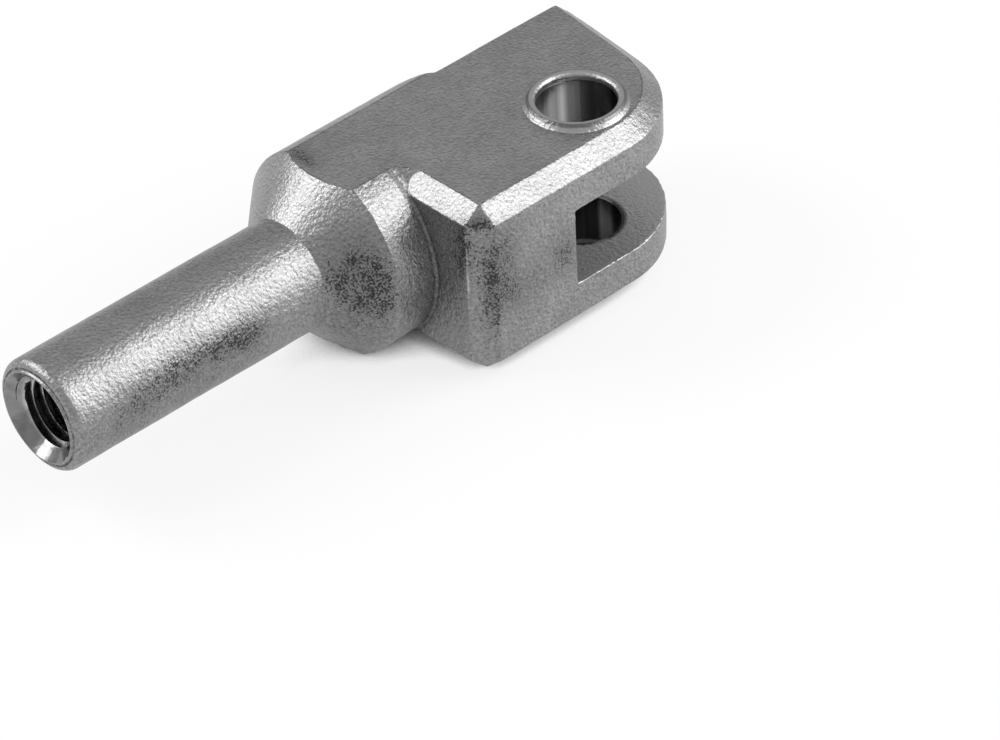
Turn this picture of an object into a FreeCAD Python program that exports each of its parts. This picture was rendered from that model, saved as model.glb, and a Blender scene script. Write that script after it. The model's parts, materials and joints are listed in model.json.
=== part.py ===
import FreeCAD, Part
import math
import os
import re
import Sketcher

# A clevis rod end: one forged piece of steel. A round shank with a tapped end
# carries a drum, and the drum carries a fork block with a slot and a pin bore.
# X runs along the shank towards the nose of the fork, Z along the pin. The
# origin is the middle of the pin bore. The shank's axis lies to the +Y side,
# where the fork is closed, and the slot opens to the nose and to -Y.
# All lengths are in millimetres and all angles in degrees.

SIZES = {
    "pin_bore": (12.0, "diameter of the pin bore"),
    "bore_mouth": (0.7, "rounding where the bore meets the ring round it"),
    "ring_foot": (15.7, "diameter of the raised bore ring at the ear's face"),
    "ring_top": (14.2, "diameter of the raised bore ring at its flat top"),
    "ring_height": (1.0, "how far the bore ring stands out of the ear's face"),
    "fork_thickness": (29.0, "from one flat of the fork to the other"),
    "open_reach": (11.2, "pin axis to the open side"),
    "closed_reach": (20.8, "pin axis to the closed side"),
    "back_reach": (30.2, "pin axis to the back face"),
    "nose_reach": (17.6, "pin axis to the upright end of the nose"),
    "front_reach": (15.9, "pin axis to the slanted front wall, along X"),
    "front_slant": (7.2, "how far the front wall leans away from Y"),
    "nose_radius": (17.2, "rounding between the open side and the front wall"),
    "closed_rounding": (1.2, "rounding of the closed corner of the nose"),
    "bevel_width": (2.9, "width of the bevels, seen from above"),
    "bevel_depth": (2.5, "depth of the bevels below the flats"),
    "corner_facet": (3.0, "size of the upright facet at the back corner"),
    "slot_gap": (13.0, "height of the fork slot"),
    "slot_back": (11.4, "pin axis to the slot's flat back wall"),
    "slot_reach": (16.2, "pin axis to the deepest line of the slot's round end"),
    "shank_offset": (14.5, "pin axis to the shank's axis"),
    "shank_diameter": (17.6, "diameter of the shank"),
    "shank_reach": (91.4, "pin axis to the shank's end face"),
    "end_land": (0.1, "flat of the shank's end face between the lip and the rounded edge"),
    "lip_land": (0.15, "width of the top of the lip round the countersink"),
    "lip_flare": (0.15, "how much further out the lip's foot reaches than its top"),
    "lip_height": (0.3, "how far that lip stands out"),
    "cone_end": (44.8, "pin axis to where the shank widens"),
    "drum_rear": (37.3, "pin axis to the drum's rear edge"),
    "drum_front": (8.8, "pin axis to where the drum's bulge ends at the closed side"),
    "drum_diameter": (32.2, "diameter of the drum"),
    "drum_end_angle": (48.0, "angle of the drum's slanted front end to X"),
    "neck_radius": (3.0, "hollow that leads the drum into the back bevel"),
    "root_radius": (0.5, "small hollow between the drum and the back face"),
    "tap_drill": (10.2, "tapping drill of the M12 thread"),
    "tap_mouth": (14.2, "diameter of the countersink before the thread"),
    "tap_depth": (28.0, "depth of the tapping hole to its full diameter"),
    "drill_point": (59.0, "half the angle of the drill's point"),
    "sink_angle": (45.0, "half the angle of the countersink"),
    "overcut": (1.0, "how far cutting shapes run past what they cut"),
}


class Size:
    """A number and the spreadsheet formula that gives it, worked out together."""

    def __init__(self, value, text):
        self.value = value
        self.text = text

    @staticmethod
    def of(thing):
        return thing if isinstance(thing, Size) else Size(float(thing), str(thing))

    def join(self, sign, other, value):
        return Size(value, "(" + self.text + " " + sign + " " + other.text + ")")

    def __add__(self, other):
        other = Size.of(other)
        return self.join("+", other, self.value + other.value)

    def __sub__(self, other):
        other = Size.of(other)
        return self.join("-", other, self.value - other.value)

    def __mul__(self, other):
        other = Size.of(other)
        return self.join("*", other, self.value * other.value)

    def __truediv__(self, other):
        other = Size.of(other)
        return self.join("/", other, self.value / other.value)

    def __neg__(self):
        return Size(0.0, "0") - self


def sine(angle):
    return Size(math.sin(math.radians(angle.value)), "sin(" + angle.text + ")")


def cosine(angle):
    return Size(math.cos(math.radians(angle.value)), "cos(" + angle.text + ")")


def tangent(angle):
    return Size(math.tan(math.radians(angle.value)), "tan(" + angle.text + ")")


document = FreeCAD.newDocument("clevis_rod_end")
sheet = document.addObject("Spreadsheet::Sheet", "sizes")
cell = {}
for row, (name, (value, meaning)) in enumerate(SIZES.items(), start=1):
    sheet.set("A" + str(row), name)
    sheet.set("B" + str(row), str(value))
    sheet.set("C" + str(row), meaning)
    sheet.setAlias("B" + str(row), name)
    cell[name] = Size(value, "sizes." + name)
document.recompute()

body = document.addObject("PartDesign::Body", "clevis_rod_end")
body.Label = "clevis_rod_end"

ZERO = Size(0.0, "0")
pin_radius = cell["pin_bore"] / 2
half_thickness = cell["fork_thickness"] / 2
ring_top_level = half_thickness + cell["ring_height"]
drum_radius = cell["drum_diameter"] / 2
shank_radius = cell["shank_diameter"] / 2
tap_radius = cell["tap_drill"] / 2
overcut = cell["overcut"]


def bind(thing, name, size):
    thing.setExpression(name, size.text)


def new_sketch(name, plane, offset=(ZERO, ZERO, ZERO), turn=None):
    """A sketch on one of the body's origin planes, moved in that plane's own frame
    by offset and turned by turn degrees about the plane's upright direction."""
    sketch = body.newObject("Sketcher::SketchObject", name)
    support = [item for item in body.Origin.OriginFeatures if item.Role == plane][0]
    sketch.AttachmentSupport = (support, [""])
    sketch.MapMode = "FlatFace"
    spot = FreeCAD.Vector(*[size.value for size in offset])
    upright = FreeCAD.Vector(0, 1, 0)
    lean = turn.value if turn else 0.0
    sketch.AttachmentOffset = FreeCAD.Placement(spot, FreeCAD.Rotation(upright, lean))
    for axis, size in zip("xyz", offset):
        if size is not ZERO:
            bind(sketch, "AttachmentOffset.Base." + axis, size)
    if turn:
        bind(sketch, "AttachmentOffset.Rotation.Angle", turn)
    return sketch


def arc_centre(start, end, radius, side):
    """The centre of the arc from start to end: on their perpendicular bisector,
    to the left of the way from start to end where side is 1, else to the right."""
    dx = end[0] - start[0]
    dy = end[1] - start[1]
    length = math.hypot(dx, dy)
    height = math.sqrt(max(radius * radius - length * length / 4, 0.0))
    middle = ((start[0] + end[0]) / 2, (start[1] + end[1]) / 2)
    return (middle[0] - side * dy / length * height, middle[1] + side * dx / length * height)


def draw(sketch, corners, arcs=()):
    """A closed outline through the corners, each held by its own two distances.
    arcs maps the number of a corner to the radius of the arc that leaves it and
    the side that its centre is on, seen along the outline: 1 left, -1 right."""
    arcs = dict(arcs)
    points = [(x.value, y.value) for x, y in corners]
    shapes = []
    for index, start in enumerate(points):
        end = points[(index + 1) % len(points)]
        if index not in arcs:
            edge = Part.LineSegment(FreeCAD.Vector(*start, 0), FreeCAD.Vector(*end, 0))
            shapes.append((sketch.addGeometry(edge, False), 1, 2))
            continue
        radius, side = arcs[index]
        centre = arc_centre(start, end, radius.value, side)
        circle = Part.Circle(FreeCAD.Vector(*centre, 0), FreeCAD.Vector(0, 0, 1), radius.value)
        first, last = (start, end) if side > 0 else (end, start)
        begin = math.atan2(first[1] - centre[1], first[0] - centre[0])
        finish = math.atan2(last[1] - centre[1], last[0] - centre[0])
        edge = Part.ArcOfCircle(circle, begin, finish)
        number = sketch.addGeometry(edge, False)
        shapes.append((number, 1, 2) if side > 0 else (number, 2, 1))
        sketch.addConstraint(Sketcher.Constraint("Radius", number, radius.value))
        hold(sketch, "radius_" + str(number), radius)
    for index, (x, y) in enumerate(corners):
        number, start_point, _ = shapes[index]
        before, _, end_point = shapes[index - 1]
        sketch.addConstraint(Sketcher.Constraint("Coincident", before, end_point, number, start_point))
        for axis, size in (("X", x), ("Y", y)):
            distance = Sketcher.Constraint("Distance" + axis, -1, 1, number, start_point, size.value)
            sketch.addConstraint(distance)
            hold(sketch, "corner_" + str(number) + "_" + axis.lower(), size)
    document.recompute()


def hold(sketch, name, size):
    """Names the sketch's newest constraint and ties it to the sheet."""
    sketch.renameConstraint(sketch.ConstraintCount - 1, name)
    if re.search("[a-z]", size.text):
        bind(sketch, "Constraints." + name, size)


def feature(kind, name, sketch):
    made = body.newObject("PartDesign::" + kind, name)
    made.Profile = sketch
    sketch.Visibility = False
    return made


def turned(kind, name, sketch, axis, angle=None, symmetric=False):
    """The sketch turned about one of its own axes, added or cut away."""
    made = feature(kind, name, sketch)
    made.ReferenceAxis = (sketch, [axis])
    made.Midplane = symmetric
    made.Angle = angle.value if angle else 360.0
    if angle:
        bind(made, "Angle", angle)
    document.recompute()
    return made


def cut_through(name, sketch):
    """Cuts the sketch's outline away through the whole body, both ways."""
    made = feature("Pocket", name, sketch)
    made.Type = "ThroughAll"
    made.SideType = "Symmetric"
    document.recompute()
    return made


# The fork block: its outline in plan, standing from one flat to the other.
slant = cell["front_slant"]
nose_radius = cell["nose_radius"]
closed_rounding = cell["closed_rounding"]
arc_y = nose_radius - cell["open_reach"]
arc_x = cell["front_reach"] + tangent(slant) * arc_y - nose_radius / cosine(slant)
front_top_y = (cell["nose_reach"] - cell["front_reach"]) / tangent(slant)


def fork_block():
    sketch = new_sketch("fork_outline", "XY_Plane")
    back = -cell["back_reach"]
    side = -cell["open_reach"]
    facet = cell["corner_facet"]
    closed = cell["closed_reach"]
    nose = cell["nose_reach"]
    draw(sketch, [
        (back, side + facet),
        (back + facet, side),
        (arc_x, side),
        (arc_x + nose_radius * cosine(slant), arc_y - nose_radius * sine(slant)),
        (nose, front_top_y),
        (nose, closed - closed_rounding),
        (nose - closed_rounding, closed),
        (back, closed),
    ], {2: (nose_radius, 1), 5: (closed_rounding, 1)})
    pad = feature("Pad", "fork_pad", sketch)
    pad.SideType = "Symmetric"
    bind(pad, "Length", cell["fork_thickness"])
    document.recompute()


def bevel_profile(sketch, flat_edge, width):
    """Two triangles beyond the bevel's line, one at each flat, that run past its ends."""
    depth = cell["bevel_depth"]
    extra = overcut + cell["root_radius"]
    rise = extra * depth / width
    for sign in (1, -1):
        inner = (flat_edge - extra, (half_thickness + rise) * sign)
        outer = (flat_edge + width + extra, (half_thickness - depth - rise) * sign)
        draw(sketch, (inner, outer, (outer[0], inner[1])))


def straight_bevels():
    """The back, side and front bevels and the small corner facet between two of them.
    Each is a plane that falls outwards along its heading, an angle from +X."""
    width = cell["bevel_width"]
    half_turn = Size(180.0, "180")
    diagonal = Size(math.sqrt(2.0), "sqrt(2)")
    corner_reach = (cell["back_reach"] + cell["open_reach"] - cell["corner_facet"]) / diagonal
    corner_width = (width * 2 - cell["corner_facet"]) / diagonal
    bevels = (
        ("back_bevel", half_turn, cell["back_reach"], width),
        ("side_bevel", half_turn / -2, cell["open_reach"], width),
        ("front_bevel", -slant, cell["front_reach"] * cosine(slant), width),
        ("corner_bevel", half_turn * 5 / 4, corner_reach, corner_width),
    )
    for name, heading, reach, bevel_width in bevels:
        sketch = new_sketch(name + "_profile", "XZ_Plane", turn=heading)
        bevel_profile(sketch, reach - bevel_width, bevel_width)
        cut_through(name, sketch)


def nose_bevel():
    """The bevel round the nose: the same slope turned about the nose arc's centre."""
    quarter = Size(-90.0, "-90")
    sketch = new_sketch("nose_bevel_profile", "XZ_Plane", (arc_x, ZERO, -arc_y), quarter)
    bevel_profile(sketch, nose_radius - cell["bevel_width"], cell["bevel_width"])
    turned("Groove", "nose_bevel", sketch, "V_Axis", Size(90.0, "90") - slant)


def shank_and_drum():
    """Turned about the shank's axis: lip, end face, shank, cone and drum."""
    end = -cell["shank_reach"]
    lip = end - cell["lip_height"]
    lip_top = cell["tap_mouth"] / 2 + cell["lip_land"]
    lip_foot = lip_top + cell["lip_flare"]
    rounding = shank_radius - lip_foot - cell["end_land"]
    sketch = new_sketch("turned_profile", "XY_Plane", (ZERO, cell["shank_offset"], ZERO))
    draw(sketch, [
        (lip, ZERO),
        (lip, lip_top),
        (end, lip_foot),
        (end, shank_radius - rounding),
        (end + rounding, shank_radius),
        (-cell["cone_end"], shank_radius),
        (-cell["drum_rear"], drum_radius),
        (-cell["drum_front"], drum_radius),
        (-cell["drum_front"], ZERO),
    ], {3: (rounding, -1)})
    turned("Revolution", "shank_and_drum", sketch, "H_Axis")


def root_hollow():
    """The small hollow between the drum and the back face, on the open side only.
    It is there before the bevels, which cut its ends off."""
    back = -cell["back_reach"]
    wall = -drum_radius
    root = cell["root_radius"]
    sketch = new_sketch("root_profile", "XY_Plane", (ZERO, cell["shank_offset"], ZERO))
    draw(sketch, [
        (back - root, wall + overcut),
        (back - root, wall),
        (back, wall - root),
        (back + overcut, wall - root),
        (back + overcut, wall + overcut),
    ], {1: (root, -1)})
    turned("Revolution", "root_hollow", sketch, "H_Axis", Size(180.0, "180"), symmetric=True)


def neck_hollow():
    """The hollow that leads the drum up into the back bevel, near the flats."""
    back = -cell["back_reach"]
    wall = -drum_radius
    neck = cell["neck_radius"]
    sketch = new_sketch("neck_profile", "XY_Plane", (ZERO, cell["shank_offset"], ZERO))
    draw(sketch, [
        (back, wall + overcut),
        (back, wall),
        (back + neck, wall - neck),
        (back + neck, wall + overcut),
    ], {1: (neck, -1)})
    turned("Revolution", "neck_hollow", sketch, "H_Axis", Size(180.0, "180"), symmetric=True)


def flats():
    """Both flats cut the drum and its hollow to the fork's thickness."""
    sketch = new_sketch("flats_profile", "XZ_Plane")
    left = -cell["cone_end"] - overcut
    right = cell["nose_reach"] + overcut
    far = drum_radius + cell["neck_radius"] + overcut
    for sign in (1, -1):
        level = half_thickness * sign
        draw(sketch, ((left, level), (right, level), (right, far * sign), (left, far * sign)))
    cut_through("flats", sketch)


def drum_end():
    """The drum's bulge past the closed side ends in a slanted upright plane."""
    sketch = new_sketch("drum_end_profile", "XY_Plane")
    start = -cell["drum_front"]
    closed = cell["closed_reach"]
    far = closed + cell["drum_diameter"]
    run = cell["drum_diameter"] / tangent(cell["drum_end_angle"])
    draw(sketch, [
        (start, closed),
        (start + overcut, closed),
        (start + overcut, far),
        (start - run, far),
    ])
    cut_through("drum_end", sketch)


def bore_rings():
    """A low ring with a bevelled foot stands round the bore on each outer face."""
    foot = cell["ring_foot"] / 2
    for name, sign in (("upper_ring", 1), ("lower_ring", -1)):
        sketch = new_sketch(name + "_profile", "XZ_Plane")
        draw(sketch, [
            (ZERO, (half_thickness - overcut) * sign),
            (foot, (half_thickness - overcut) * sign),
            (foot, half_thickness * sign),
            (cell["ring_top"] / 2, ring_top_level * sign),
            (ZERO, ring_top_level * sign),
        ])
        turned("Revolution", name, sketch, "V_Axis")


def slot():
    """The fork slot: open at the nose and at -Y, with a round end at the closed side."""
    half_gap = cell["slot_gap"] / 2
    outside = -cell["open_reach"] - overcut
    middle = cell["slot_reach"] - half_gap
    sketch = new_sketch("slot_profile", "YZ_Plane", (ZERO, ZERO, -cell["slot_back"]))
    draw(sketch, [
        (outside, -half_gap),
        (middle, -half_gap),
        (cell["slot_reach"], ZERO),
        (middle, half_gap),
        (outside, half_gap),
    ], {1: (half_gap, 1), 2: (half_gap, 1)})
    made = feature("Pocket", "slot", sketch)
    made.Type = "ThroughAll"
    made.Reversed = True
    document.recompute()


def pin_bore():
    """The bore through both ears, with rounded mouths."""
    mouth = cell["bore_mouth"]
    top = ring_top_level
    sketch = new_sketch("bore_profile", "XZ_Plane")
    draw(sketch, [
        (ZERO, -(top + overcut)),
        (pin_radius + mouth, -(top + overcut)),
        (pin_radius + mouth, -top),
        (pin_radius, mouth - top),
        (pin_radius, top - mouth),
        (pin_radius + mouth, top),
        (pin_radius + mouth, top + overcut),
        (ZERO, top + overcut),
    ], {2: (mouth, -1), 4: (mouth, -1)})
    turned("Groove", "pin_bore", sketch, "V_Axis")


def tapped_hole():
    """The tapping hole of the shank, with its countersink and drill point."""
    mouth = -cell["shank_reach"] - cell["lip_height"]
    sink = cell["tap_mouth"] / 2
    bottom = mouth + cell["tap_depth"]
    widening = overcut * tangent(cell["sink_angle"])
    sketch = new_sketch("tap_profile", "XY_Plane", (ZERO, cell["shank_offset"], ZERO))
    draw(sketch, [
        (mouth - overcut, ZERO),
        (mouth - overcut, sink + widening),
        (mouth + (sink - tap_radius) / tangent(cell["sink_angle"]), tap_radius),
        (bottom, tap_radius),
        (bottom + tap_radius / tangent(cell["drill_point"]), ZERO),
    ])
    turned("Groove", "tapped_hole", sketch, "H_Axis")


fork_block()
root_hollow()
straight_bevels()
nose_bevel()
shank_and_drum()
neck_hollow()
flats()
drum_end()
bore_rings()
slot()
pin_bore()
tapped_hole()
document.recompute()

for item in document.Objects:
    if "Invalid" in item.State or "Error" in item.State:
        raise RuntimeError(item.Name + " did not build")
if body.Shape.isNull() or not body.Shape.isValid() or len(body.Shape.Solids) != 1:
    raise RuntimeError(body.Label + " is not one valid solid")

os.makedirs("parts", exist_ok=True)
body.Shape.exportStep("parts/" + body.Label + ".step")
box = body.Shape.optimalBoundingBox()
print(body.Label, round(body.Shape.Volume, 1), "mm3,", len(body.Shape.Faces), "faces")
print("box", [round(v, 2) for v in (box.XMin, box.YMin, box.ZMin, box.XMax, box.YMax, box.ZMax)])
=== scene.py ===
# %% [markdown]
# # A clevis rod end in cast steel
#
# The real part is one piece of steel. It is cast, then blasted with grit, and
# only the fork's slot, the pin bore and the threaded hole are machined. The
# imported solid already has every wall, bevel and hole in its right place. The shape
# could be modelled here once more, but then two models would have to agree. So the
# scene takes a copy of that solid's mesh and gives it what the foundry and the
# drill give the real one: soft edges, a slightly uneven skin, a real screw thread,
# and three finishes.

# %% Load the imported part
import bmesh
import bpy
import json
import math
import mathutils
import numpy as np
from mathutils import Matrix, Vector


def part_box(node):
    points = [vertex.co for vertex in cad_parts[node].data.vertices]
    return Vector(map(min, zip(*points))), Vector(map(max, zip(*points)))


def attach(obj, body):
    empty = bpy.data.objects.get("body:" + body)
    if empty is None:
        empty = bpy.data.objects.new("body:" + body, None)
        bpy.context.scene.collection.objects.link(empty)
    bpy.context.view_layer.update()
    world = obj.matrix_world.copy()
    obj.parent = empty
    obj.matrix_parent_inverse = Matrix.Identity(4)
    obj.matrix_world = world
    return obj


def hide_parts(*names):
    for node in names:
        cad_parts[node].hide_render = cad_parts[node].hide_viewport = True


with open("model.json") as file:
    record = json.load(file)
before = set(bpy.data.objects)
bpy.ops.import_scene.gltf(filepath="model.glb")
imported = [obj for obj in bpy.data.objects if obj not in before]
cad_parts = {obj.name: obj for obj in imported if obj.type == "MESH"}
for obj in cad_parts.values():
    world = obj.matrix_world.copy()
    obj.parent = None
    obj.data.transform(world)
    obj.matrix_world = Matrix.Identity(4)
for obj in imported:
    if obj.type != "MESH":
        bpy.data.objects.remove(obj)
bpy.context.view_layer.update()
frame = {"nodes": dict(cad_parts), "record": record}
part_name = "clevis_rod_end"
mounts = {mount["name"]: mount for mount in frame["record"]["mounts"]}

# %% [markdown]
# ## Sizes that the looks need
#
# All mesh work is done in millimetres, because that is how a maker thinks of
# this part, and it is turned into metres when the mesh is written. What can be
# read from the record is read from it, so the looks follow the solid.

# %% Sizes from the record
MM = 0.001
bore_radius = mounts["pin_bore"]["dims"]["r_mm"]
tap_radius = mounts["shank_thread"]["dims"]["r_mm"]
shank_axis_y = mounts["shank_thread"]["pos_m"][1] / MM
flat_level = mounts["upper_flat"]["pos_m"][2] / MM
slot_low, slot_high = np.array(frame["record"]["physics"]["openings"][0]["box_m"]) / MM
part_low, part_high = (np.array(corner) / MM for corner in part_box(part_name))
print("bore radius", bore_radius, "tapping radius", tap_radius, "shank axis at y", shank_axis_y)

# %% [markdown]
# ## The camera
#
# The photograph was taken with a long lens from above the shank's end of the
# fork. The eye point, the view's direction and the lens were found by fitting
# the corners and ellipses of the part, so the camera is given by those values.

# %% Camera
EYE = (-0.471599, -0.510469, 0.492060)
FORWARD = mathutils.Vector((0.530066, 0.595902, -0.603267))
RIGHT = mathutils.Vector((0.725841, -0.686668, -0.040519))
FOCAL_PIXELS = 5792.9
IMAGE_WIDTH = 1000
SENSOR_WIDTH = 36.0

camera_data = bpy.data.cameras.new("product_camera")
camera_data.sensor_width = SENSOR_WIDTH
camera_data.lens = FOCAL_PIXELS * SENSOR_WIDTH / IMAGE_WIDTH
camera_data.clip_end = 10
camera = bpy.data.objects.new("product_camera", camera_data)
bpy.context.scene.collection.objects.link(camera)
up = RIGHT.cross(FORWARD)
turn = mathutils.Matrix((RIGHT, up, -FORWARD)).transposed()
camera.matrix_world = mathutils.Matrix.Translation(EYE) @ turn.to_4x4()
bpy.context.scene.camera = camera
print("lens in millimetres:", round(camera_data.lens, 1))

# %% [markdown]
# ## Reading the solid's mesh
#
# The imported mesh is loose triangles, one island for each face of the solid, with
# the solid's own normals at the corners. Those normals are worth keeping: they
# say how each curved face really bends between its few points.

# %% Points, normals and islands
def read_mesh(mesh):
    """Places of the mesh's points in millimetres, and its triangles."""
    places = np.empty(len(mesh.vertices) * 3, np.float32)
    mesh.vertices.foreach_get("co", places)
    index = np.empty(len(mesh.loops), np.int32)
    mesh.loops.foreach_get("vertex_index", index)
    return places.reshape(-1, 3).astype(float) / MM, index.reshape(-1, 3)


def read_normals(mesh):
    """The unit normal at each triangle's three corners, one row for each corner."""
    normals = np.empty(len(mesh.loops) * 3, np.float32)
    mesh.corner_normals.foreach_get("vector", normals)
    return normals.reshape(-1, 3).astype(float)


def islands(point_count, triangles):
    """A label for each triangle: the lowest number of a point that it is joined to."""
    label = np.arange(point_count)
    while True:
        lowest = label[triangles].min(1)
        wider = label.copy()
        for corner in range(3):
            np.minimum.at(wider, triangles[:, corner], lowest)
        if (wider == label).all():
            return label[triangles[:, 0]]
        label = wider


cad_mesh = frame["nodes"][part_name].data
places, triangles = read_mesh(cad_mesh)
labels = islands(len(places), triangles)
print(len(places), "points,", len(triangles), "triangles,", len(np.unique(labels)), "faces of the solid")

# %% [markdown]
# ## Which faces are machined
#
# A face is told by where all of its points lie. The bore, the ring round its
# mouth and the slot were cut after casting. The tapped hole is marked too,
# because a real thread takes its place further down.

# %% Sort the faces
CAST, MACHINED, TAPPED = 0, 1, 2
RING_WIDTH = 1.9
SINK_REACH = 2.05
SLACK = 0.3


def face_kind(points):
    """The finish of one face of the solid, from its points."""
    from_pin = np.hypot(points[:, 0], points[:, 1]).max()
    from_shank = np.hypot(points[:, 1] - shank_axis_y, points[:, 2]).max()
    from_middle = np.abs(points[:, 2]).max()
    if from_pin < bore_radius + RING_WIDTH:
        return MACHINED
    if from_middle < slot_high[2] + SLACK and points[:, 0].min() > slot_low[0] - SLACK:
        return MACHINED
    if from_shank < tap_radius + SINK_REACH and np.ptp(points[:, 0]) > SLACK:
        return TAPPED
    return CAST


kinds = np.zeros(len(triangles), np.int32)
for label in np.unique(labels):
    own = labels == label
    kinds[own] = face_kind(places[triangles[own].ravel()])
for kind, word in ((CAST, "cast"), (MACHINED, "machined"), (TAPPED, "tapped")):
    print(word, "faces of the solid:", len(np.unique(labels[kinds == kind])))
tapped_points = places[triangles[kinds == TAPPED].ravel()]
mouth_x, tip_x = tapped_points[:, 0].min(), tapped_points[:, 0].max()
print("the tapped hole runs from x", round(mouth_x, 2), "to", round(tip_x, 2))

# %% [markdown]
# ## A finer mesh
#
# A cast skin is uneven, and that needs points everywhere, not only at the
# corners. A subdivision surface would round the part off, and a voxel remesh
# would fray its edges. So the copy is cut by planes a millimetre apart, along X,
# Y and Z, as bread is sliced. Each cut leaves the shape exactly as it is. Three
# vectors ride along at the corners: they say where the true curved surface lies
# between the corners of a flat facet.

# %% What rides along at the corners
def tangent_terms(points, normals):
    """For a corner at place v with unit normal n: the squares of n's parts, the products
    of each part with the next, and n times (n dot v)."""
    squares = normals ** 2
    products = normals * np.roll(normals, -1, axis=1)
    levels = normals * (normals * points).sum(1)[:, None]
    return {"squares": squares, "products": products, "levels": levels}


cad_normals = read_normals(cad_mesh)
carried = tangent_terms(places[triangles.ravel()], cad_normals)
carried["normals"] = cad_normals
print("carried at each corner:", ", ".join(carried))

# %% Copy the solid without its tapped hole
WELD = 0.002 * MM
FLATNESS = 0.002


def copy_without_hole():
    """A welded copy of the solid's mesh, without the tapped hole."""
    mesh = cad_mesh.copy()
    for name, values in carried.items():
        attribute = mesh.attributes.new(name, "FLOAT_VECTOR", "CORNER")
        attribute.data.foreach_set("vector", values.astype(np.float32).ravel())
    mesh.attributes.new("kind", "INT", "FACE").data.foreach_set("value", kinds)
    cells = bmesh.new()
    cells.from_mesh(mesh)
    bpy.data.meshes.remove(mesh)
    kind_layer = cells.faces.layers.int["kind"]
    hole = [face for face in cells.faces if face[kind_layer] == TAPPED]
    bmesh.ops.delete(cells, geom=hole, context="FACES")
    bmesh.ops.remove_doubles(cells, verts=cells.verts, dist=WELD)
    bmesh.ops.dissolve_limit(cells, angle_limit=FLATNESS, verts=cells.verts, edges=cells.edges)
    return cells, kind_layer


cells, kind_layer = copy_without_hole()
print("faces after welding:", len(cells.faces))

# %% Slice it
SLICE = 0.95
NEAR_PLANE = 0.12 * MM


def slice_up(cells):
    """Cut everything by planes one slice apart, across each of the three axes."""
    for axis in range(3):
        direction = [float(axis == other) for other in range(3)]
        for level in np.arange(part_low[axis] + SLICE / 2, part_high[axis], SLICE):
            plane = {"plane_co": [level * MM * part for part in direction], "plane_no": direction}
            everything = cells.verts[:] + cells.edges[:] + cells.faces[:]
            bmesh.ops.bisect_plane(cells, geom=everything, dist=NEAR_PLANE, **plane)
    bmesh.ops.triangulate(cells, faces=cells.faces)


slice_up(cells)
print("triangles after slicing:", len(cells.faces))

# %% [markdown]
# Where a cast face meets another face in an edge, the cells have to be smaller,
# because the edge gets rounded or blunted later. The sides that touch such an
# edge are halved twice.

# %% Finer cells at the cast edges
CREASE = math.radians(17)
EDGE_HALVINGS = 2


def cast_edge_points(cells, kind_layer):
    """The points on every edge where a cast face turns by more than the crease angle."""
    found = set()
    for edge in cells.edges:
        if edge.calc_face_angle(0) > CREASE and any(face[kind_layer] == CAST for face in edge.link_faces):
            found.update(edge.verts)
    return found


def refine_edges(cells, kind_layer):
    """Halve the sides that touch a cast edge."""
    for _ in range(EDGE_HALVINGS):
        at_edge = cast_edge_points(cells, kind_layer)
        sides = [edge for edge in cells.edges if edge.verts[0] in at_edge or edge.verts[1] in at_edge]
        bmesh.ops.subdivide_edges(cells, edges=sides, cuts=1)
        bmesh.ops.triangulate(cells, faces=cells.faces)


refine_edges(cells, kind_layer)
sliced = bpy.data.meshes.new("sliced")
cells.to_mesh(sliced)
cells.free()
print("cells:", len(sliced.polygons), "triangles,", len(sliced.vertices), "points")

# %% Take the sliced mesh apart into arrays
def corner_vectors(mesh, name):
    """A vector that rides at the corners, one row for each corner."""
    values = np.empty(len(mesh.loops) * 3, np.float32)
    mesh.attributes[name].data.foreach_get("vector", values)
    return values.reshape(-1, 3).astype(float)


body_points, body_faces = read_mesh(sliced)
body_kinds = np.empty(len(body_faces), np.int32)
sliced.attributes["kind"].data.foreach_get("value", body_kinds)
terms = {name: corner_vectors(sliced, name) for name in carried}
bpy.data.meshes.remove(sliced)
corner_point = body_faces.ravel()
corner_normal = terms["normals"] / np.linalg.norm(terms["normals"], axis=1)[:, None]
print("corners:", len(corner_point))

# %% [markdown]
# ## Bending the facets
#
# A flat facet of a cylinder lies a little inside it. Each new point is pressed
# onto the tangent planes at the facet's own corners, weighted by how near they
# are, and goes half of the way, which for a round section is just right. Where
# two faces of the solid meet, the point has to suit both, so a small
# least-squares problem is solved at each point, for all points at once.

# %% Bend and join
HALF_WAY = 0.5
SAME_DIRECTION = 0.02


def bend(points, squares, products, levels):
    """Move of each corner: half of n (n dot v) minus n (n dot p), averaged over the
    facet's corners, where p is the place of the point and v that of the facet's corner."""
    ahead = products * np.roll(points, -1, axis=1)
    behind = np.roll(products, 1, axis=1) * np.roll(points, 1, axis=1)
    return HALF_WAY * (levels - squares * points - ahead - behind)


def gather(values, owners, count):
    """Sum the rows of values that belong to the same owner."""
    return np.stack([np.bincount(owners, column, count) for column in values.T], axis=1)


def joined_move(moves, normals, owners, count):
    """The shortest move of each point that goes as far along each corner's normal as
    that corner asks: the pseudo-inverse of the sum of n n', times the sum of n (n dot move)."""
    outer = (normals[:, :, None] * normals[:, None, :]).reshape(-1, 9)
    wanted = normals * (normals * moves).sum(1)[:, None]
    left = gather(outer, owners, count).reshape(-1, 3, 3)
    right = gather(wanted, owners, count)
    return np.einsum("nij,nj->ni", np.linalg.pinv(left, SAME_DIRECTION, hermitian=True), right)


corner_moves = bend(body_points[corner_point], terms["squares"], terms["products"], terms["levels"])
bend_moves = joined_move(corner_moves, corner_normal, corner_point, len(body_points))
body_points += bend_moves
print("largest bend in millimetres:", round(float(np.linalg.norm(bend_moves, axis=1).max()), 4))

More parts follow.
